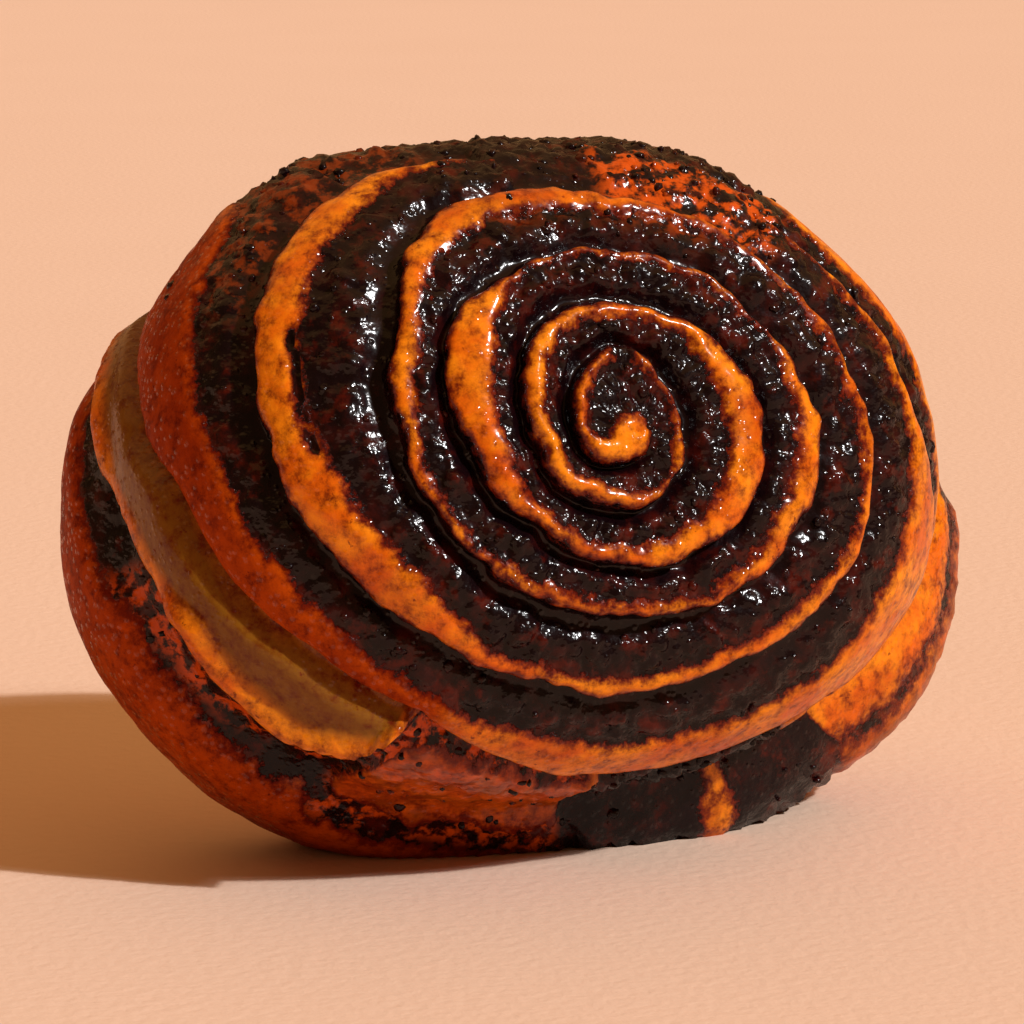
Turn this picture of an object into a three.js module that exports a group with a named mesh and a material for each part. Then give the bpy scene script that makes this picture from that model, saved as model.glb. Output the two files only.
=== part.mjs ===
// Chocolate roll: a sheet of sweet dough spread with chocolate, rolled up, cut across and baked.
// It is one solid. A domed crown carries the swirl, and a broader foot, the outermost turn that
// spread in the tin, stands out round the crown's back edge. The roll stands on its side on a
// small baked flat, with the swirl turned towards -Y, a little towards +X and a little up.
//
// Frame: millimetres, +Z up, origin under the middle of the roll on the surface that it stands on.
// The form is star-shaped: every surface point lies on a ray from the heart of the roll. A ray is
// given by the turn round the roll's axis (degrees, from "right" towards "up") and by the angle
// that it makes with the roll's axis (0 at the middle of the swirl, 180 at the middle of the back).
import * as THREE from "three";
import { mergeVertices } from "three/addons/utils/BufferGeometryUtils.js";

// Crown: the domed, swirled front of the roll.
const CROWN_WIDTH = 107;
const CROWN_HEIGHT = 84.4;
const CROWN_THICKNESS = 82;
const CROWN_SQUARENESS = 2.35; // 2 is an ellipse, higher is boxier, seen along the axis
const CROWN_SHOULDER = 2.1; // the same, seen from the side
const CROWN_MIDDLE = new THREE.Vector3(4, 0.3, -3);

// Foot: the broad outer turn behind the crown.
const FOOT_WIDTH = 125;
const FOOT_RISE = 33; // from the foot's middle up to its top edge
const FOOT_DROP = 45; // from the foot's middle down to its bottom edge
const FOOT_THICKNESS = 40;
const FOOT_SQUARENESS = 2.5;
const FOOT_SHOULDER = 2.7;
const FOOT_LEAN = -10; // its long way leans down to the right, degrees
const FOOT_MIDDLE = new THREE.Vector3(9, -8, -20);

// The crease between crown and foot is a soft valley of about this radius.
const CREASE_RADIUS = 4;

// The back baked flat on the tray, with a rounded edge.
const TRAY_SIDE_DEPTH = 37; // from the heart of the roll
const TRAY_EDGE_RADIUS = 9;

// Places where the side was pushed out (+) or in (-) by the rolls that were baked beside it.
const SWELLS = [
  { turn: 124, fromAxis: 92, spread: 13, height: 3.2 },
  { turn: 78, fromAxis: 88, spread: 14, height: -0.4 },
  { turn: 34, fromAxis: 78, spread: 18, height: -4.0 },
  { turn: 12, fromAxis: 84, spread: 12, height: -1.5 },
  { turn: 317, fromAxis: 104, spread: 16, height: -7.0 },
  { turn: 212, fromAxis: 118, spread: 20, height: -2.0 },
];

// How the roll stands.
const FACE_TURNED = 24; // swirl axis turned from -Y towards +X, degrees
const FACE_TIPPED = 15; // swirl axis tipped up from level, degrees
const REST_FLAT_DEPTH = 8; // how deep the flat that it stands on cuts into the round side

// Swirl: the angle between the roll's axis and the middle of the dough band grows with each turn.
const PITCH = 11.2; // degrees a turn near the heart
const PITCH_STRETCH = 1.95; // more towards PITCH_WIDEST, less on the opposite side
const PITCH_WIDEST = 61;
const PITCH_DIAGONAL = 1.26; // slack that the flattened sheet took up along its diagonals
const LOOSENING = 0.071; // the outer turns are looser, with the cube of the turn
const LOOSENING_STRETCH = 0.088;
const LOOSENING_LEAST = 38;
const LAST_TURN = 12; // the turn that closes in the middle of the back
const FREE_TURN = 5; // from here the rows even out towards the back
const EVEN_TURN = 10;
const BAND_RELIEF = 0.9; // the dough stands this much proud, and the chocolate sinks as much
const RELIEF_FADES = 6; // turn where the relief begins to fade
const RELIEF_GONE = 7;

// Mesh density.
const COLUMNS = 88;
const ROWS_PER_TURN = 4;

const radians = THREE.MathUtils.degToRad;
const { smoothstep, lerp } = THREE.MathUtils;

const axis = new THREE.Vector3(
  Math.sin(radians(FACE_TURNED)) * Math.cos(radians(FACE_TIPPED)),
  -Math.cos(radians(FACE_TURNED)) * Math.cos(radians(FACE_TIPPED)),
  Math.sin(radians(FACE_TIPPED)),
);
const right = new THREE.Vector3(Math.cos(radians(FACE_TURNED)), Math.sin(radians(FACE_TURNED)), 0);
const up = new THREE.Vector3().crossVectors(axis, right);
const standing = new THREE.Matrix4().makeBasis(right, up, axis);

// A rounded-box measure: 0 at the middle, 1 on the skin, growing outwards.
function roundedBox(across, along, outwards, squareness, shoulder) {
  const plan = Math.abs(across) ** squareness + Math.abs(along) ** squareness;
  const whole = plan ** (shoulder / squareness) + Math.abs(outwards) ** shoulder;
  return whole ** (1 / shoulder);
}

// Millimetres outside the crown's skin (negative inside), to a fair approximation.
function outsideCrown(point) {
  const p = point.clone().sub(CROWN_MIDDLE);
  const reach = roundedBox(
    (2 * p.x) / CROWN_WIDTH,
    (2 * p.y) / CROWN_HEIGHT,
    (2 * p.z) / CROWN_THICKNESS,
    CROWN_SQUARENESS,
    CROWN_SHOULDER,
  );
  return ((reach - 1) * CROWN_HEIGHT) / 2;
}

function outsideFoot(point) {
  const p = point.clone().sub(FOOT_MIDDLE);
  const lean = radians(FOOT_LEAN);
  const across = p.x * Math.cos(lean) + p.y * Math.sin(lean);
  const along = p.y * Math.cos(lean) - p.x * Math.sin(lean);
  const reach = roundedBox(
    (2 * across) / FOOT_WIDTH,
    along / (along > 0 ? FOOT_RISE : FOOT_DROP),
    (2 * p.z) / FOOT_THICKNESS,
    FOOT_SQUARENESS,
    FOOT_SHOULDER,
  );
  return (reach - 1) * FOOT_DROP;
}

// The smaller of two distances, rounded off over a radius where they are close.
function softMinimum(a, b, radius) {
  const mixing = Math.max(radius - Math.abs(a - b), 0) / radius;
  return Math.min(a, b) - (mixing * mixing * radius) / 4;
}

// Crown and foot run into each other through a soft crease, and the tray cuts off their back.
function outsideRoll(point) {
  const skin = softMinimum(outsideCrown(point), outsideFoot(point), CREASE_RADIUS);
  const tray = -TRAY_SIDE_DEPTH - point.z;
  return -softMinimum(-skin, -tray, TRAY_EDGE_RADIUS);
}

function rayFromHeart(turn, fromAxis) {
  const spread = Math.sin(radians(fromAxis));
  return new THREE.Vector3(
    spread * Math.cos(radians(turn)),
    spread * Math.sin(radians(turn)),
    Math.cos(radians(fromAxis)),
  );
}

// Distance along a ray to the outermost skin: step in from outside, then halve the last step.
function skinDistance(ray) {
  const step = 2;
  let outer = Math.max(CROWN_WIDTH, FOOT_WIDTH);
  while (outsideRoll(ray.clone().multiplyScalar(outer - step)) > 0) outer -= step;
  let inner = outer - step;
  for (let halving = 0; halving < 20; halving += 1) {
    const middle = (inner + outer) / 2;
    if (outsideRoll(ray.clone().multiplyScalar(middle)) > 0) outer = middle;
    else inner = middle;
  }
  return inner;
}

function swellHeight(ray) {
  return SWELLS.reduce((sum, swell) => {
    const away = THREE.MathUtils.radToDeg(ray.angleTo(rayFromHeart(swell.turn, swell.fromAxis)));
    return sum + swell.height * Math.exp(-((away / swell.spread) ** 2));
  }, 0);
}

// Angle from the axis at which the swirl's line passes after so many turns, on a given side.
function swirlAngle(turns, side) {
  if (turns <= 0) return 0;
  if (turns >= LAST_TURN) return 180;
  const stretch = PITCH_STRETCH * Math.cos(radians(side - PITCH_WIDEST));
  const slack = PITCH_DIAGONAL * Math.sin(radians(2 * side));
  const looser = LOOSENING - LOOSENING_STRETCH * Math.cos(radians(side - LOOSENING_LEAST));
  const swirl = (PITCH + stretch - slack) * turns + looser * turns ** 3;
  const even = (180 * turns) / LAST_TURN;
  return lerp(swirl, even, smoothstep(turns, FREE_TURN, EVEN_TURN));
}

// The dough band's middle is at whole rows' turns, and the chocolate's half a turn on.
function reliefHeight(row, turns) {
  const wave = Math.cos((2 * Math.PI * row) / ROWS_PER_TURN);
  const fade = smoothstep(turns, 0, 1) * (1 - smoothstep(turns, RELIEF_FADES, RELIEF_GONE));
  return BAND_RELIEF * wave * fade;
}

// A surface point in the standing pose, measured from the heart. The swirl is one long row that
// winds outwards, so going once round a row ends on the row that is one turn further in.
function surfacePoint(column, row) {
  const side = (360 * (column % COLUMNS)) / COLUMNS;
  const turns = row / ROWS_PER_TURN + 1 - column / COLUMNS;
  const ray = rayFromHeart(side, swirlAngle(turns, side));
  const distance = skinDistance(ray) + swellHeight(ray) + reliefHeight(row, turns);
  return ray.multiplyScalar(distance).applyMatrix4(standing);
}

// Points below the surface that the roll stands on slide back along their ray onto that surface.
function restOnFlat(points) {
  const lowest = Math.min(...points.map((point) => point.z));
  const flat = lowest + REST_FLAT_DEPTH;
  points.forEach((point) => {
    if (point.z < flat) point.multiplyScalar(flat / point.z).setZ(flat);
  });
}

function rollGeometry() {
  const firstRow = -ROWS_PER_TURN;
  const lastRow = ROWS_PER_TURN * LAST_TURN;
  const rows = lastRow - firstRow + 1;
  const points = [];
  for (let column = 0; column <= COLUMNS; column += 1)
    for (let row = firstRow; row <= lastRow; row += 1) points.push(surfacePoint(column, row));
  restOnFlat(points);

  const triangles = [];
  for (let column = 0; column < COLUMNS; column += 1)
    for (let row = 0; row < rows - 1; row += 1) {
      const here = column * rows + row;
      const next = here + rows;
      triangles.push(here, here + 1, next + 1, here, next + 1, next);
    }
  const geometry = new THREE.BufferGeometry().setFromPoints(points);
  geometry.setIndex(triangles);
  return withoutSlivers(mergeVertices(geometry, 1e-3));
}

// The rows that start at the heart and end at the back shrink to a point there.
function withoutSlivers(geometry) {
  const kept = [];
  const corners = geometry.index.array;
  for (let i = 0; i < corners.length; i += 3) {
    const [a, b, c] = corners.slice(i, i + 3);
    if (a !== b && b !== c && c !== a) kept.push(a, b, c);
  }
  geometry.setIndex(kept);
  geometry.computeVertexNormals();
  return geometry;
}

// Moves the roll so that its box stands on the origin by the middle of its underside.
function standOnOrigin(geometry) {
  geometry.computeBoundingBox();
  const { min, max } = geometry.boundingBox;
  return geometry.translate(-(min.x + max.x) / 2, -(min.y + max.y) / 2, -min.z);
}

const crust = new THREE.MeshStandardMaterial({ color: 0x9a4a14, roughness: 0.35, metalness: 0 });
const roll = new THREE.Mesh(standOnOrigin(rollGeometry()), crust);
roll.name = "chocolate_roll";

const part = new THREE.Group();
part.add(roll);

export default part;
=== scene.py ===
# Chocolate roll: a sheet of sweet dough spread with chocolate, rolled up, cut across, baked and
# brushed with syrup. It stands on its side on a plain pale floor, with the swirl to the camera.
import math

import bpy
import numpy as np
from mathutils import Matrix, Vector, noise


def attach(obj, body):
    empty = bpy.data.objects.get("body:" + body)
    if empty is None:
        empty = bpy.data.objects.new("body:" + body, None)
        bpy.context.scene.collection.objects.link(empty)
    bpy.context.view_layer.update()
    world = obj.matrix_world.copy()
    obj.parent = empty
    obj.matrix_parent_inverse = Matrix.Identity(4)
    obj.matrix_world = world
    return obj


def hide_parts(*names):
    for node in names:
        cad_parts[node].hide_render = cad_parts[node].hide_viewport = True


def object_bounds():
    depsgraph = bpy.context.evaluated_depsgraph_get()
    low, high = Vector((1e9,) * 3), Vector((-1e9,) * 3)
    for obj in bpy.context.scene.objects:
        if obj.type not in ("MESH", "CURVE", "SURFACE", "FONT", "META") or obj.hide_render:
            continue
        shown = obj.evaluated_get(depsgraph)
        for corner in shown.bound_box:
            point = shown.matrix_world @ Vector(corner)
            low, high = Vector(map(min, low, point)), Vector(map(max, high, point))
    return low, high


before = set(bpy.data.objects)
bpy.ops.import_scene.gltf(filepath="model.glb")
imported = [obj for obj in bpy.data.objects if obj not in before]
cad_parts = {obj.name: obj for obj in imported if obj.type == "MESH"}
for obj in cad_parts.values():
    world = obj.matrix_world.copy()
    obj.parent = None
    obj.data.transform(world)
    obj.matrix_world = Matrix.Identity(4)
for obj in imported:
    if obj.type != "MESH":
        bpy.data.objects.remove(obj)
cad_box = [list(corner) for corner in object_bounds()]

# ---- Camera ------------------------------------------------------------------------------------
# A long lens in front of the roll and a little above it, looking along +Y and tipped down, so that
# the swirl is seen nearly face on.
camera_tipped_down = math.radians(10)
camera_distance = 0.6
camera_lens = 162.4
camera_sensor_width = 36
aim_from_middle = Vector((-0.0015, 0, -0.0031))

low, high = (Vector(corner) for corner in cad_box)
camera_aim = (low + high) / 2 + aim_from_middle
looking = Vector((0, math.cos(camera_tipped_down), -math.sin(camera_tipped_down)))
bpy.ops.object.camera_add(location=camera_aim - looking * camera_distance)
camera = bpy.context.object
camera.name = "camera"
camera.rotation_euler = looking.to_track_quat("-Z", "Y").to_euler()
camera.data.lens = camera_lens
camera.data.sensor_width = camera_sensor_width
bpy.context.scene.camera = camera

# ---- Floor -------------------------------------------------------------------------------------
# A sheet of pale peach paper, faintly mottled and finely fibrous, laid flat under the roll and
# reaching far out behind it.
paper_width = 16
paper_colour = (0.72, 0.520, 0.400, 1)
paper_shade = (0.70, 0.500, 0.380, 1)
paper_roughness = 0.85
paper_shine = 0.2
mottle_scale = 14
fibre_scale = 520
fibre_height = 0.0004
fibre_strength = 0.5


def place(tree, kind, wires=None, **settings):
    """Adds a node. wires gives its inputs, each a plain value or another node's output."""
    node = tree.nodes.new(kind)
    for name, value in settings.items():
        setattr(node, name, value)
    for socket, value in (wires or {}).items():
        if isinstance(value, bpy.types.NodeSocket):
            tree.links.new(value, node.inputs[socket])
        else:
            node.inputs[socket].default_value = value
    return node


def new_material(name):
    """A material with nothing in it but its output and a Principled shader."""
    material = bpy.data.materials.new(name)
    material.use_nodes = True
    shader = material.node_tree.nodes["Principled BSDF"]
    return material, material.node_tree, shader


bpy.ops.object.select_all(action="DESELECT")
bpy.ops.mesh.primitive_plane_add(size=paper_width, location=(0, 0, 0))
paper = bpy.context.object
paper.name = "paper_floor"

paper_material, tree, shader = new_material("peach_paper")
place_on = place(tree, "ShaderNodeTexCoord").outputs["Object"]
fibres = place(tree, "ShaderNodeTexNoise", {"Vector": place_on, "Scale": fibre_scale, "Detail": 6})
mottle = place(tree, "ShaderNodeTexNoise", {"Vector": place_on, "Scale": mottle_scale, "Detail": 3})
tone = place(tree, "ShaderNodeMix", {
    0: mottle.outputs[0], 6: paper_shade, 7: paper_colour,
}, data_type="RGBA")
tree.links.new(tone.outputs[2], shader.inputs["Base Color"])
paper_bump = place(tree, "ShaderNodeBump", {
    "Height": fibres.outputs[0], "Distance": fibre_height, "Strength": fibre_strength,
})
tree.links.new(paper_bump.outputs[0], shader.inputs["Normal"])
shader.inputs["Roughness"].default_value = paper_roughness
shader.inputs["Specular IOR Level"].default_value = paper_shine
paper.data.materials.append(paper_material)

# ---- Light -------------------------------------------------------------------------------------
# A distant hard lamp high on the right and in front, with a wider, weaker lamp behind it as its
# diffuser, a broad warm glow from above and behind, and a dim warm room.
key_direction = (0.64, -0.44, 0.63)
glow_direction = (0.10, 0.45, 0.85)
lamp_white = (1.0, 1.0, 1.0)
glow_colour = (1.0, 0.50, 0.18)
room_colour = (1.0, 0.50, 0.20, 1)
room_strength = 0.2


def add_light(name, towards, spread, strength, colour):
    """A distant lamp that stands towards a direction, and looks spread degrees across."""
    bpy.ops.object.light_add(type="SUN", location=Vector(towards))
    lamp = bpy.context.object
    lamp.name = name
    lamp.data.angle = math.radians(spread)
    lamp.data.energy = strength
    lamp.data.color = colour
    lamp.rotation_euler = (-Vector(towards)).to_track_quat("-Z", "Y").to_euler()


add_light("key_lamp", key_direction, spread=1.5, strength=2.5, colour=lamp_white)
add_light("key_lamp_diffuser", key_direction, spread=7, strength=1.15, colour=lamp_white)
add_light("warm_glow", glow_direction, spread=120, strength=1.25, colour=glow_colour)
world = bpy.data.worlds.new("dim_room")
world.use_nodes = True
background = world.node_tree.nodes["Background"]
background.inputs["Color"].default_value = room_colour
background.inputs["Strength"].default_value = room_strength
bpy.context.scene.world = world
bpy.context.scene.view_settings.view_transform = "Standard"

# ---- The roll ----------------------------------------------------------------------------------
# The baked body, dough and filling in one, glazed with syrup. It begins as a flat sheet that is
# rolled up, so that its rows wind outwards with the swirl, and it stands on its outermost turn.

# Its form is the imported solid's, with a sharper crease and a finer swirl and relief. Lengths are
# millimetres from the roll's heart: across it, up it and out along its axis.
crown_middle = np.array([4.0, 0.3, -3.0])
crown_half = np.array([53.5, 42.2, 41.0])
crown_powers = (2.35, 2.1)  # across and along the axis: 2 is round, and more is squarer
foot_middle = np.array([9.0, -8.0, -20.0])
foot_half = np.array([62.5, 45.0, 20.0])
foot_rise = 33.0
foot_powers = (2.5, 2.7)
foot_lean = math.radians(-10)
crease_radius = 3.0
tray_side_depth = 37.0
tray_edge_radius = 9.0
rest_flat_depth = 8.0
face_turned = math.radians(24)
face_tipped = math.radians(15)
swells = [  # side, angle from the axis, spread, height
    (124, 92, 13, 3.2),
    (78, 88, 14, -0.4),
    (34, 78, 18, -4.0),
    (12, 84, 12, -1.5),
    (317, 104, 16, -7.0),
    (212, 118, 20, -2.0),
]
axis = np.array([
    math.sin(face_turned) * math.cos(face_tipped),
    -math.cos(face_turned) * math.cos(face_tipped),
    math.sin(face_tipped),
])
right = np.array([math.cos(face_turned), math.sin(face_turned), 0.0])
standing = np.stack([right, np.cross(axis, right), axis])

last_turn = 12
rows_per_turn = 16
columns = 464
fine_until = 10  # the sheet's turns whose rows lie closer together, on the crown
fine_step = 0.72
surely_outside = 90.0
step_in = 2.0
halvings = 12


def ramp(value, start, end):
    """Rises smoothly from 0 at start to 1 at end."""
    share = np.clip((value - start) / (end - start), 0, 1)
    return share * share * (3 - 2 * share)


def between(value, start, end, soft):
    """1 from start to end, and 0 beyond them by more than soft."""
    return ramp(value, start - soft, start) * (1 - ramp(value, end, end + soft))


def bump_at(value, centre, spread):
    """1 at the centre, falling off smoothly on both sides."""
    return np.exp(-(((value - centre) / spread) ** 2))


def round_to(side, centre):
    """Degrees from centre to side, the short way round."""
    return (side - centre + 180) % 360 - 180


def rays(side, from_axis):
    """Directions from the heart, by side (degrees round the axis) and angle from the axis."""
    side, from_axis = np.radians(side), np.radians(from_axis)
    spread = np.sin(from_axis)
    return np.stack([spread * np.cos(side), spread * np.sin(side), np.cos(from_axis)], -1)


def rounded_block(x, y, z, powers):
    """Below 0 in a rounded block that reaches 1 each way, and above 0 outside it."""
    across, along = powers
    return ((x**across + y**across) ** (along / across) + z**along) ** (1 / along) - 1


def outside_crown(p):
    x, y, z = np.abs((p - crown_middle) / crown_half).T
    return rounded_block(x, y, z, crown_powers) * crown_half[1]


def outside_foot(p):
    x, y, z = (p - foot_middle).T
    level = x * math.cos(foot_lean) + y * math.sin(foot_lean)
    upright = y * math.cos(foot_lean) - x * math.sin(foot_lean)
    x = np.abs(level / foot_half[0])
    y = np.abs(upright / np.where(upright > 0, foot_rise, foot_half[1]))
    z = np.abs(z / foot_half[2])
    return rounded_block(x, y, z, foot_powers) * foot_half[1]


def soft_minimum(a, b, radius):
    """The lesser of two numbers, with the corner between them rounded."""
    mixing = np.maximum(radius - np.abs(a - b), 0) / radius
    return np.minimum(a, b) - mixing * mixing * radius / 4


def outside_roll(p):
    """Roughly how far each point lies outside the roll, before its swells."""
    skin = soft_minimum(outside_crown(p), outside_foot(p), crease_radius)
    tray = -tray_side_depth - p[:, 2]
    return -soft_minimum(-skin, -tray, tray_edge_radius)


def skin_distance(ray):
    """Where each ray leaves the roll for good: steps in from outside, then halves the last one."""
    outer = np.full(len(ray), surely_outside)
    open_rays = np.ones(len(ray), bool)
    while open_rays.any():
        index = np.flatnonzero(open_rays)
        clear = outside_roll(ray[index] * (outer[index] - step_in)[:, None]) > 0
        outer[index[clear]] -= step_in
        open_rays[index[~clear]] = False
    inner = outer - step_in
    for _ in range(halvings):
        half = (inner + outer) / 2
        clear = outside_roll(ray * half[:, None]) > 0
        outer = np.where(clear, half, outer)
        inner = np.where(clear, inner, half)
    return inner


def swell_height(ray):
    """How far the swells lift each ray's end, or sink it."""
    height = np.zeros(len(ray))
    for side, from_axis, spread, rise in swells:
        away = np.degrees(np.arccos(np.clip(ray @ rays(side, from_axis), -1, 1)))
        height += rise * bump_at(away, 0, spread)
    return height


def swirl_angle(turns, side):
    """Angle from the axis at which the dough band's middle passes after so many turns."""
    def wave(strength, towards, times=1):
        return strength * np.cos(np.radians(times * (side - towards)))

    heart = (1 - np.exp(-((turns / 0.45) ** 2))) * (2.2 + wave(5.2, 151))
    pitch = turns * (10.1 + wave(2.7, 18) + wave(-0.73, 27, 2))
    looser = turns**3 / 25 * (2.35 + wave(-2.47, 29) + wave(-1.05, 58, 2))
    even = 180 * turns / last_turn
    blend = ramp(turns, 5.6, 10)
    angle = (heart + pitch + looser) * (1 - blend) + even * blend
    return np.where(turns <= 0, 0, np.where(turns >= last_turn, 180, np.clip(angle, 0, 180)))


# The sheet, before it is rolled up. Its rows lie closer together on the crown than behind it.
# Points before the start of the winding lie at the heart, and points past its end at the back.
first_row = -rows_per_turn
rows = rows_per_turn * (last_turn + 1) + 1
bpy.ops.object.select_all(action="DESELECT")
bpy.ops.mesh.primitive_grid_add(x_subdivisions=columns, y_subdivisions=rows - 1, size=2)
roll = bpy.context.object
roll.name = "baked_roll"
flat = np.empty(len(roll.data.vertices) * 3, np.float32)
roll.data.vertices.foreach_get("co", flat)
flat = flat.reshape(-1, 3)
column = np.rint((flat[:, 0] + 1) / 2 * columns)
row = np.rint((flat[:, 1] + 1) / 2 * (rows - 1)) + first_row
side = 360 * (column % columns) / columns
wound = row / rows_per_turn + 1 - column / columns
turns = np.interp(wound, [0, fine_until, last_turn], [0, fine_until * fine_step, last_turn])
turns = np.where(wound < 0, wound, turns)
from_axis = swirl_angle(turns, side)
ray = rays(side, from_axis)
swell = swell_height(ray)
skin = skin_distance(ray) + swell
here = ray * skin[:, None]

# The flat that it stands on lies at floor level, and the middle of its box over the origin.
smooth_form = here @ standing
rest_level = smooth_form[:, 2].min() + rest_flat_depth
corner_low, corner_high = smooth_form.min(0), smooth_form.max(0)
heart_at = np.array([
    -(corner_low[0] + corner_high[0]) / 2,
    -(corner_low[1] + corner_high[1]) / 2,
    -rest_level,
])

# The crease is where the foot first stands out from behind the crown. It is found column by column
# and smoothed, and the side baked on the tray lies behind both.
crease_from = 60  # degrees from the axis between which the crease is looked for
crease_until = 130.0
smoothing = 6  # columns on each side
tray_blend = (tray_side_depth - 4, tray_side_depth - 0.5)

column_of = (column % columns).astype(int)
before_swells = ray * (skin - swell)[:, None]
behind_crown = outside_crown(before_swells) > outside_foot(before_swells)
behind_crown &= from_axis > crease_from
crease = np.full(columns, crease_until)
np.minimum.at(crease, column_of[behind_crown], from_axis[behind_crown])
closed_ring = np.concatenate([crease[-smoothing:], crease, crease[:smoothing]])
window = 2 * smoothing + 1
crease = np.convolve(closed_ring, np.ones(window) / window, "valid")
past_crease = np.radians(from_axis - crease[column_of]) * skin
on_tray = ramp(-here[:, 2], *tray_blend)


def soft_noise(points, size, seed):
    """Smooth noise between -1 and 1, with lumps of about the given size in millimetres."""
    offset = Vector((seed * 17.3, seed * 5.1, seed * 11.7))
    return np.array([noise.noise(Vector(p) / size + offset) for p in points])


def grains(points, size, seed):
    """Rounded grains packed side by side, 1 on top of each and 0 in the gaps between them."""
    offset = Vector((seed * 7.9, seed * 13.3, seed * 3.7))
    tops = []
    for p in points:
        away, centres = noise.voronoi(Vector(p) / size + offset)
        full = 0.55 + 0.45 * noise.noise(centres[0] * 3.1)
        tops.append(full * max(0.0, 1 - (away[0] / 0.75) ** 2))
    return np.array(tops)


# The strip of dough wound into the crown. Each row is one turn, from the heart outwards, with a
# station every 30 degrees from the right: how far the strip reaches towards the heart, and away
# from it, in hundredths of a turn from its middle line. Chocolate covers it over the top.
stations_per_turn = 12
station_step = 360 / stations_per_turn
least_pitch = 3.0
no_dough_near = 9.0  # turns
farthest_edge = 9  # millimetres
reach_in = [
    [17, 17, 15, 8, 2, 0, 0, 30, 30, 30, 30, 30],
    [27, 28, 33, 35, 20, 29, 29, 20, 23, 17, 12, 15],
    [23, 15, 20, 15, 8, 40, 33, 5, 6, 17, 33, 30],
    [20, 17, 14, 30, 12, 35, 10, -4, 10, 30, 30, 40],
    [17, 8, -10, -10, -4, 15, 17, 20, 0, 20, 45, 33],
    [25, 30, -10, -10, -10, 20, 33, 30, 20, 23, 40, 46],
]
reach_out = [
    [-6, -6, -4, 16, 15, 18, 18, 28, 25, 17, -2, -8],
    [22, 18, -6, -6, 10, 17, 17, 33, 17, 10, 0, 5],
    [15, -3, -3, -2, 2, 38, 30, 30, 25, 16, 10, 25],
    [0, -5, 6, 15, 33, -8, 10, 20, 12, -10, -12, -2],
    [10, 4, 0, 0, 28, 24, 28, 30, 20, 5, -20, -12],
    [25, 25, 0, 0, 0, 60, 60, 60, 60, 60, 60, 60],
]


def reach(stations, strip):
    """How far the strip reaches at each point's side, in turns, read along the strip's length."""
    outwards = np.array(stations, float)[:, ::-1].ravel() / 100
    along = (strip + 1) * stations_per_turn - side / station_step
    return np.interp(along, np.arange(1, len(outwards) + 1), outwards)


pitch = np.radians(swirl_angle(turns + 0.5, side) - swirl_angle(turns - 0.5, side)) * skin
pitch = np.maximum(pitch, least_pitch)
ragged = 0.9 * soft_noise(here, 6.5, 1) + 0.6 * soft_noise(here, 2.6, 2)
wound_dough = turns - 1 + side / 360 + ragged / pitch
nearest_turn = np.floor(wound_dough)
edge_in_turns = np.full(len(here), no_dough_near)
dough_behind = nearest_turn - 1
dough_ahead = nearest_turn + 2
for turns_off in (-1, 0, 1, 2):
    strip = nearest_turn + turns_off
    starts = strip - reach(reach_in, strip)
    ends = strip + reach(reach_out, strip)
    real = ends > starts
    outside_strip = np.maximum(starts - wound_dough, wound_dough - ends)
    edge_in_turns = np.minimum(edge_in_turns, np.where(real, outside_strip, no_dough_near))
    ends_before = real & (ends <= wound_dough)
    starts_after = real & (starts >= wound_dough)
    dough_behind = np.where(ends_before, np.maximum(dough_behind, ends), dough_behind)
    dough_ahead = np.where(starts_after, np.minimum(dough_ahead, starts), dough_ahead)
crown_edge = np.clip(edge_in_turns * pitch, -farthest_edge, farthest_edge)
filling_width = np.maximum(dough_ahead - dough_behind, 0.1)
across_filling = np.clip((wound_dough - dough_behind) / filling_width, 0, 1)

# Over the top the outermost turns are buried in chocolate and crumbs, which reach a little further
# in just left of the middle.
buried = between(side, 48, 128, 10) * between(turns, 5.45, 8.4, 0.2)
buried += between(side, 96, 110, 6) * between(turns, 5.0, 8.4, 0.2)
buried = np.clip(buried, 0, 1)
crown_edge = crown_edge + (np.maximum(crown_edge, 3.0) - crown_edge) * buried

# The heart is a curl of dough, and the strip has torn through just above it.
nub_middle = (-1.0, -0.6)
nub_radius = 2.7
tear_side = 92
tear_turns = 0.8

nub_edge = np.hypot(here[:, 0] - nub_middle[0], here[:, 1] - nub_middle[1]) - nub_radius
crown_edge = np.where(from_axis < 90, np.minimum(crown_edge, nub_edge), crown_edge)
torn = 1.0 - np.abs(round_to(side, tear_side)) * 0.13
crown_edge = np.where(np.abs(turns - tear_turns) < 0.3, np.maximum(crown_edge, torn), crown_edge)

# The foot, from the crease outwards. On the left a ridge of dough lies along the crease and ends
# in a pouch, and a band of filling divides it from the wall. Below is a red glazed lobe, then
# chocolate, then a dough bulge on the right. Places are (side, millimetres past the form's crease).


def line_through(*places):
    """How far past the form's crease a line runs at each point's side."""
    sides, past = zip(*places)
    return np.interp(side, sides, past)


crease_line = line_through(
    (0, -4), (25, -3), (140, -3), (163, -7), (172, -10), (180, -16), (195, -20), (210, -24),
    (232, -25), (250, -20), (265, -15), (285, -12.5), (315, -15), (335, -12), (350, -6),
)
ridge_line = line_through(
    (150, 5), (168, 3.2), (176, 1.3), (184, -4.5), (191, -7.5), (200, -12), (220, -13),
    (229, -17), (233, -27),
)
wall_line = line_through(
    (150, 9), (183, 5), (190, 3.7), (197, 0.4), (213, 0.8), (225, 1.8), (240, 1.5),
)
bulge_line = line_through((320, 3.4), (336, 3.6), (340, 4.6), (350, 4.6))
foot_ragged = 1.1 * soft_noise(here, 6, 4) + 0.7 * soft_noise(here, 2.6, 5)
past_line = past_crease - crease_line
left = between(side, 140, 232, 5)
below = between(side, 236, 272, 4)
beneath = between(side, 276, 317, 3)
bulge = between(side, 320, 352, 3)
behind = np.clip(1 - left - below - beneath - bulge, 0, 1)
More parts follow.
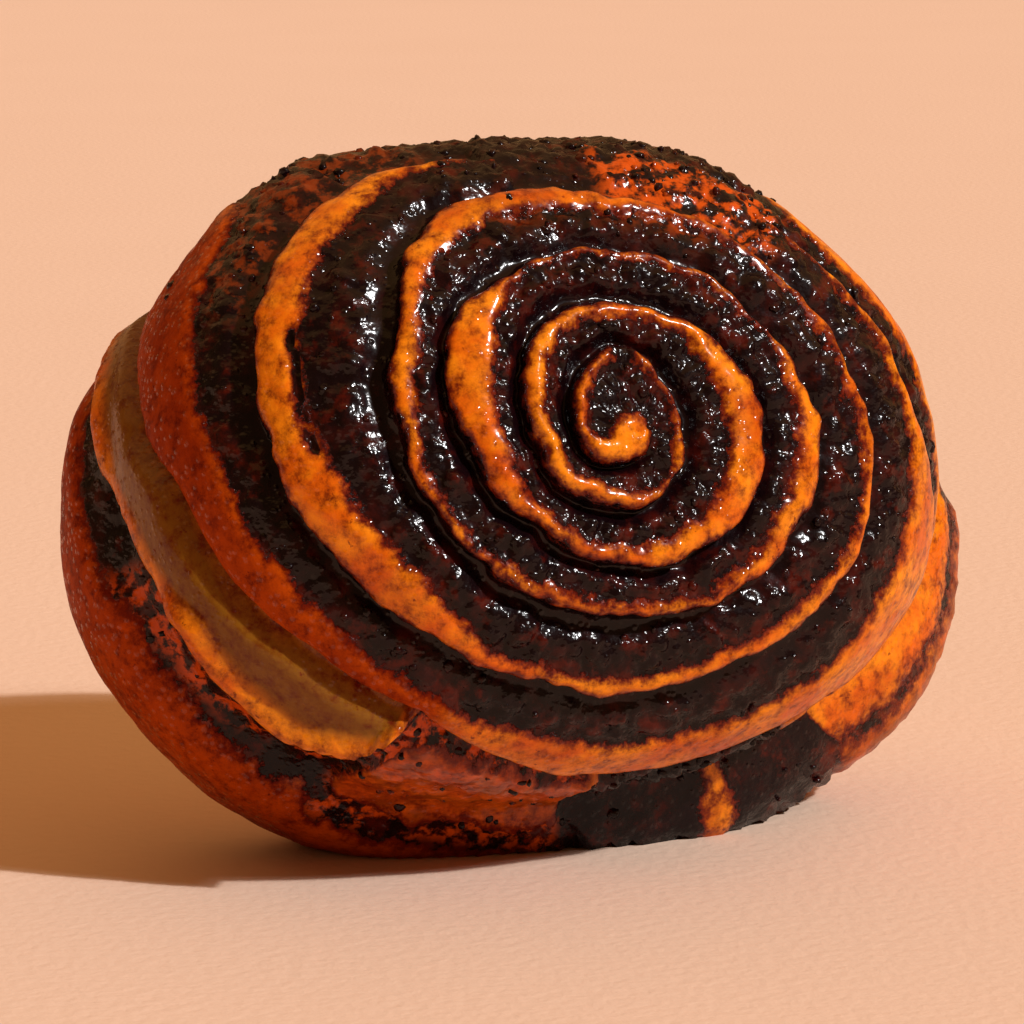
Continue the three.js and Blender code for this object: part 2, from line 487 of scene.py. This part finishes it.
left_edge = np.minimum(past_crease - ridge_line, wall_line - past_crease) + foot_ragged
below_edge = np.maximum(1.6 - past_line, np.minimum(past_crease - 1.4, 4.5 - past_crease))
below_edge += foot_ragged
streak = 1.6 - np.abs((side - 302) * 0.75 + past_crease * 0.55)
beneath_edge = np.minimum(3.0, -streak) + foot_ragged
bulge_edge = 0.5 - np.abs(past_crease - bulge_line - 0.8) + 0.35 * foot_ragged
behind_edge = np.minimum(past_crease - 4, 9.5 - past_crease) + 1.5 * foot_ragged
foot_edge = (
    left_edge * left + below_edge * below + beneath_edge * beneath
    + bulge_edge * bulge + behind_edge * behind
)
on_foot = ramp(past_line, -0.8, 0.8)

# The side baked on the tray shows the other end of the swirl, pressed flat.
tray_pitch = 7.8
tray_dough_half = 0.29  # half the dough's width, in turns
tray_swirl_wide = 1.12
tray_swirl_high = 0.9

tray_reach = np.hypot(here[:, 0] / tray_swirl_wide, here[:, 1] / tray_swirl_high) / tray_pitch
tray_reach += side / 360
tray_reach += 0.06 * soft_noise(here, 10, 6)
tray_band = np.abs(tray_reach - np.rint(tray_reach))
tray_edge = (tray_band - tray_dough_half) * tray_pitch

# One number for the whole skin: millimetres into the filling, and below 0 on the dough.
filling_edge = crown_edge * (1 - on_foot) + foot_edge * on_foot
filling_edge = filling_edge * (1 - on_tray) + tray_edge * on_tray
shelf = ramp(across_filling, 0.28, 0.55) * (1 - on_foot) + on_foot
# A dark stain along the crease on the left, with patches of filling in it: painted shade.
crease_painted_shade = -0.6 - 0.8 * np.abs(past_line) - 9 * (1 - left)
filling_edge = np.maximum(filling_edge, crease_painted_shade)
inside_filling = ramp(filling_edge, -0.1, 0.8)

# Where red syrup has soaked in, where the ridge is dull and darkened beside the crease as painted
# shade, and where the outer wall on the left is darkest: partly baked brown, partly painted shade.
soaked = 0.9 * between(side, 44, 76, 6) * between(turns, 4.25, 5.7, 0.2)
soaked += 0.25 * between(side, 112, 150, 8) * between(turns, 5.15, 6.2, 0.2)
soaked += 0.9 * below * on_foot * (1 - ramp(past_crease, 3.0, 5.0))
soaked += 0.9 * between(side, 193, 234, 5) * between(past_crease - ridge_line, 3.5, 12, 1.5) * on_foot
soaked += 0.8 * bulge * ramp(past_crease - bulge_line, 0.8, 2.2)
soaked += 0.5 * between(side, 62, 108, 8) * bump_at(turns, 3.75, 0.35)
soaked = np.clip(soaked, 0, 1)
# The ridge turns a dark dull olive beside the crease: painted shade on dough that is also dull.
dull_and_shaded = left * on_foot * ramp(ridge_line - past_crease, 3.4, 5.2)
# The outer wall on the left is darker: partly baked brown, partly painted shade.
baked_and_shaded = between(side, 142, 232, 10) * ramp(wound_dough, 4.55, 4.75) * (1 - on_foot)
baked_and_shaded += between(side, 142, 266, 8) * on_foot * ramp(past_crease - wall_line, -1.0, 0.5)
baked_and_shaded = np.clip(baked_and_shaded, 0, 1) * (1 - on_tray)

# Relief. The dough bands are low terraces. The filling sinks to a smooth channel beside the inner
# band, and rises to a rough shelf beside the outer one. Heights are in millimetres.
terrace_height = 0.8
filling_depth = 0.8
channel_depth = 1.5
crease_depth = 2.8
ridge_height = 1.3
ridge_crest = 0.8
pouch_crest = 2.0
slit_depth = 1.3
coarse_grain = 2.9
fine_grain = 1.45

terrace = terrace_height * (1 - np.exp(-np.maximum(-filling_edge, 0) / terrace_height))
channel = filling_depth + channel_depth * bump_at(across_filling, 0.25, 0.22)
channel = channel * (1 - on_foot) + filling_depth * on_foot
coarse_grains = grains(here, coarse_grain, 1)
fine_grains = grains(here, fine_grain, 2)
lumps = (1.1 * coarse_grains + 0.9 * fine_grains) * (0.1 + 0.9 * shelf)
lumps += beneath * on_foot * (1.2 * coarse_grains + 1.6 * soft_noise(here, 7, 10))
relief = terrace - inside_filling * channel + inside_filling * lumps
relief += soaked * (0.9 * coarse_grains + 0.6 * fine_grains) * (1 - inside_filling)
relief -= crease_depth * bump_at(past_line, 0, 1.0) * np.clip(left + below + beneath, 0, 1)
ridge_width = np.maximum(ridge_line - crease_line, 3)
ridge_round = np.sqrt(np.clip(1 - (past_line / ridge_width * 2 - 1) ** 2, 0, 1))
relief += ridge_height * left * on_foot * ridge_round
crest_height = ridge_crest + pouch_crest * between(side, 200, 228, 8)
relief += crest_height * left * on_foot * bump_at(ridge_line - past_crease, 2.4, 1.7)
slit = bump_at(wound_dough, 3.91, 0.03) * between(side, 157, 177, 3)
relief -= slit_depth * slit
uneven_skin = 0.35 * soft_noise(here, 18, 7) + 0.2 * soft_noise(here, 6, 8)
relief += uneven_skin + 0.1 * soft_noise(here, 2.2, 9)
relief *= 1 - 0.8 * on_tray
relief *= ramp(from_axis, 0.0, 1.5)

# Rolled up, with the underside pressed flat on the surface that it stands on. The points that meet
# along the seam, at the heart and at the back are merged, which closes the skin.
merge_within = 0.000002

shape = (ray * (skin + relief)[:, None]) @ standing
under = shape[:, 2] < rest_level
shape[under] *= (rest_level / shape[under, 2])[:, None]
shape = (shape + heart_at) / 1000
roll.data.vertices.foreach_set("co", shape.astype(np.float32).ravel())


def keep_on_points(mesh, name, values):
    """Stores one number for each point, for the material to read."""
    layer = mesh.attributes.new(name, "FLOAT", "POINT")
    layer.data.foreach_set("value", np.asarray(values, np.float32))


keep_on_points(roll.data, "filling_edge", np.maximum(filling_edge, 3 * slit - 1.2))
keep_on_points(roll.data, "shelf", shelf)
keep_on_points(roll.data, "soaked", soaked)
keep_on_points(roll.data, "dull_and_shaded", dull_and_shaded)
keep_on_points(roll.data, "baked_and_shaded", baked_and_shaded)
bpy.ops.object.mode_set(mode="EDIT")
bpy.ops.mesh.select_all(action="SELECT")
bpy.ops.mesh.remove_doubles(threshold=merge_within)
bpy.ops.mesh.normals_make_consistent(inside=False)
bpy.ops.object.mode_set(mode="OBJECT")
bpy.ops.object.shade_smooth()

# Baked dough is mottled orange, filling is near black, and dark red syrup has run between them.
# Syrup and chocolate also leave a thin clear gloss, in beads on the dough and all over the filling.
dough_bright = (0.85, 0.245, 0.005, 1)
dough_deep = (0.68, 0.115, 0.002, 1)
dough_baked = (0.36, 0.030, 0.001, 1)
# The next three colours are darker in part as painted shade: the ridge by the crease and the left
# wall.
dough_dull_shaded = (0.22, 0.085, 0.006, 1)
wall_brown = (0.45, 0.058, 0.001, 1)
wall_dark = (0.28, 0.026, 0.001, 1)
syrup_red = (0.115, 0.007, 0.0012, 1)
syrup_bright = (0.60, 0.075, 0.003, 1)
filling_dark = (0.0045, 0.0008, 0.0014, 1)
filling_warm = (0.030, 0.0030, 0.0024, 1)
fray_scale = 520
fray_reach = 4.6
skin_bump_height = 0.0006
gloss_bump_height = 0.00012
bead_scale = 950
filling_gloss = 0.48
gloss_roughness = 0.16
gloss_ior = 1.46

crust, tree, shader = new_material("baked_dough_and_chocolate")
spot = place(tree, "ShaderNodeTexCoord").outputs["Object"]


def number(tree, name):
    """A number that was kept on the points."""
    return place(tree, "ShaderNodeAttribute", attribute_name=name).outputs["Fac"]


def mixed(tree, share, first, second):
    """The first colour, with a share of the second."""
    return place(tree, "ShaderNodeMix", {0: share, 6: first, 7: second}, data_type="RGBA").outputs[2]


def mapped(tree, value, low, high, to_low=0.0, to_high=1.0):
    """Turns low to high smoothly into to_low to to_high, and stays there beyond them."""
    return place(tree, "ShaderNodeMapRange", {
        0: value, 1: low, 2: high, 3: to_low, 4: to_high,
    }, interpolation_type="SMOOTHSTEP").outputs[0]


def maths(tree, operation, first, second, third=0.0):
    """One step of arithmetic."""
    return place(tree, "ShaderNodeMath", {
        0: first, 1: second, 2: third,
    }, operation=operation).outputs[0]


def noise_at(tree, scale, detail, roughness=0.6):
    """Noise of so many lumps to the metre, fixed to the roll."""
    return place(tree, "ShaderNodeTexNoise", {
        "Vector": spot, "Scale": scale, "Detail": detail, "Roughness": roughness,
    }).outputs[0]


# Where the filling is, with a frayed edge, and how far its stain runs into the dough. Along the
# crease on the left the same dark stain is painted shade.
fray = maths(tree, "SUBTRACT", noise_at(tree, fray_scale, 8, 0.7), 0.5)
edge = maths(tree, "MULTIPLY_ADD", fray, fray_reach, number(tree, "filling_edge"))
filling = mapped(tree, edge, -0.15, 0.25)
stained = mapped(tree, edge, -2.1, -0.1)

# The dough: mottled, browned in patches, darker on the outer wall on the left (partly baked brown,
# partly painted shade), darker still as painted shade on the ridge by the crease, specked, and
# soaked with syrup.
dough = mixed(tree, mapped(tree, noise_at(tree, 150, 6), 0.38, 0.66), dough_bright, dough_deep)
browned = mapped(tree, noise_at(tree, 70, 4), 0.50, 0.72)
dough = mixed(tree, maths(tree, "MULTIPLY", browned, 0.55), dough, dough_baked)
wall = mixed(tree, mapped(tree, noise_at(tree, 60, 5), 0.4, 0.7), wall_brown, wall_dark)
# The left wall and the ridge by the crease are darkened partly as painted shade.
dough = mixed(tree, number(tree, "baked_and_shaded"), dough, wall)
dough = mixed(tree, number(tree, "dull_and_shaded"), dough, dough_dull_shaded)
speck = mapped(tree, noise_at(tree, 800, 3), 0.66, 0.72)
dough = mixed(tree, maths(tree, "MULTIPLY", speck, 0.75), dough, syrup_red)
soaking = mapped(tree, noise_at(tree, 240, 6, 0.65), 0.36, 0.66)
syrup = mixed(tree, soaking, syrup_bright, syrup_red)
dough = mixed(tree, maths(tree, "MULTIPLY", number(tree, "soaked"), 0.88), dough, syrup)

# The filling: near black, reddish on its rough shelf, and crumbled with red where syrup ran.
chocolate = mixed(tree, mapped(tree, noise_at(tree, 250, 4), 0.45, 0.75), filling_dark, filling_warm)
red_patches = mapped(tree, noise_at(tree, 260, 6), 0.52, 0.66)
reddish = maths(tree, "MULTIPLY", number(tree, "shelf"), red_patches)
chocolate = mixed(tree, maths(tree, "MULTIPLY", reddish, 0.45), chocolate, syrup_red)
red_grains = mapped(tree, noise_at(tree, 420, 5), 0.46, 0.6)
crumbling = maths(tree, "MULTIPLY", number(tree, "soaked"), red_grains)
chocolate = mixed(tree, crumbling, chocolate, syrup_bright)
colour = mixed(tree, maths(tree, "POWER", stained, 1.8), dough, syrup_red)
colour = mixed(tree, filling, colour, chocolate)
tree.links.new(colour, shader.inputs["Base Color"])

# Fine pores and lumps under the gloss.
pores = noise_at(tree, 620, 5, 0.62)
rough_lumps = maths(tree, "MULTIPLY", noise_at(tree, 480, 3, 0.5), filling)
height = maths(tree, "MULTIPLY_ADD", rough_lumps, 1.1, maths(tree, "MULTIPLY", pores, 0.5))
skin_bump = place(tree, "ShaderNodeBump", {
    "Height": height, "Distance": skin_bump_height, "Strength": 0.5,
})
tree.links.new(skin_bump.outputs[0], shader.inputs["Normal"])

# Syrup stands on the skin in flat beads, and the filling is glossy all over: each catches the light.
bead_cells = place(tree, "ShaderNodeTexVoronoi", {
    "Vector": spot, "Scale": bead_scale, "Randomness": 1,
})
bead_pick = place(tree, "ShaderNodeSeparateColor", {0: bead_cells.outputs["Color"]}).outputs[0]
bead_shape = mapped(tree, bead_cells.outputs["Distance"], 0.0, 0.46, 1, 0)
bead = maths(tree, "MULTIPLY", bead_shape, mapped(tree, bead_pick, 0.18, 0.28))
shelf_lumps = mapped(tree, number(tree, "shelf"), 0, 1, 0.3, 1.0)
lumpy = maths(tree, "MAXIMUM", maths(tree, "MULTIPLY", filling, shelf_lumps), 0.18)
pimples = maths(tree, "MULTIPLY", noise_at(tree, 600, 3, 0.4), lumpy)
gloss_height = maths(tree, "MULTIPLY_ADD", pimples, 4.0, bead)
gloss_bump = place(tree, "ShaderNodeBump", {
    "Height": gloss_height, "Distance": gloss_bump_height, "Strength": 1.0,
})
tree.links.new(gloss_bump.outputs[0], shader.inputs["Coat Normal"])
tree.links.new(mapped(tree, filling, 0, 1, 0.52, 0.45), shader.inputs["Roughness"])
tree.links.new(mapped(tree, filling, 0, 1, 0.03, 0.02), shader.inputs["Specular IOR Level"])
dough_gloss = mapped(tree, number(tree, "baked_and_shaded"), 0, 1, 0.50, 0.03)
more_on_filling = maths(tree, "SUBTRACT", filling_gloss, dough_gloss)
skin_gloss = maths(tree, "MULTIPLY_ADD", more_on_filling, filling, dough_gloss)
gloss = maths(tree, "MAXIMUM", mapped(tree, bead, 0.02, 0.2, 0, 0.6), skin_gloss)
tree.links.new(gloss, shader.inputs["Coat Weight"])
shader.inputs["Coat Roughness"].default_value = gloss_roughness
shader.inputs["Coat IOR"].default_value = gloss_ior
roll.data.materials.append(crust)
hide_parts("chocolate_roll")
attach(roll, "root")

# ---- Crumbs ------------------------------------------------------------------------------------
# Crumbs of chocolate and sugar that baked onto the filling, thickest over the top and along the
# foot. Each is a small knob, half sunk, and takes the roll's own material.
crumb_count = 700
crumb_sizes = (0.30, 0.80)  # least and greatest radius, in millimetres
crumb_kinds = 6
crumb_sunk = 0.55  # how deep its middle lies under the skin, as a share of its radius
crumb_stretch = (0.7, 1.2)
crumb_unevenness = 0.45
bare_near_floor = 0.003
deep_in_filling = 4.0
dice = np.random.default_rng(5)

crumb_places = inside_filling * shelf * (0.25 + 0.75 * ramp(from_axis, 45, 70))
crumb_places += 0.4 * buried + 0.5 * soaked + 1.5 * beneath * on_foot
crumb_places *= (1 - on_tray) * (shape[:, 2] > bare_near_floor) * np.sin(np.radians(from_axis))
spots = dice.choice(len(shape), crumb_count, replace=False, p=crumb_places / crumb_places.sum())
knobs = []
for kind in range(crumb_kinds):
    bpy.ops.object.select_all(action="DESELECT")
    bpy.ops.mesh.primitive_uv_sphere_add(segments=8, ring_count=5, radius=1)
    knob = bpy.context.object
    elsewhere = Vector((kind * 9.1, 0, 0))
    uneven = []
    for point in knob.data.vertices:
        uneven.append(1 + crumb_unevenness * noise.noise(point.co * 1.3 + elsewhere))
    round_points = np.array([point.co for point in knob.data.vertices])
    knob_faces = [list(face.vertices) for face in knob.data.polygons]
    knobs.append((round_points * np.array(uneven)[:, None], knob_faces))
    bpy.data.objects.remove(knob)

crumb_points = []
crumb_faces = []
for index, spot_index in enumerate(spots):
    points, faces = knobs[index % crumb_kinds]
    turn = np.linalg.qr(dice.normal(size=(3, 3)))[0]
    turn *= np.sign(np.linalg.det(turn))
    radius = dice.uniform(*crumb_sizes) / 1000
    first = index * len(points)
    sunk_to = shape[spot_index] - (ray[spot_index] @ standing) * radius * crumb_sunk
    crumb_points.append(points @ turn * radius * dice.uniform(*crumb_stretch, 3) + sunk_to)
    crumb_faces += [[first + corner for corner in face] for face in faces]
crumb_mesh = bpy.data.meshes.new("chocolate_crumbs")
crumb_mesh.from_pydata(np.concatenate(crumb_points).tolist(), [], crumb_faces)
crumbs = bpy.data.objects.new("chocolate_crumbs", crumb_mesh)
bpy.context.collection.objects.link(crumbs)
crumb_soaked = 0.7 * soaked[spots] * dice.integers(0, 2, crumb_count)
keep_on_points(crumb_mesh, "filling_edge", np.full(len(crumb_mesh.vertices), deep_in_filling))
keep_on_points(crumb_mesh, "shelf", np.ones(len(crumb_mesh.vertices)))
keep_on_points(crumb_mesh, "soaked", np.repeat(crumb_soaked, len(points)))
crumb_mesh.shade_smooth()
crumb_mesh.materials.append(crust)
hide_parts("chocolate_roll")
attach(crumbs, "root")
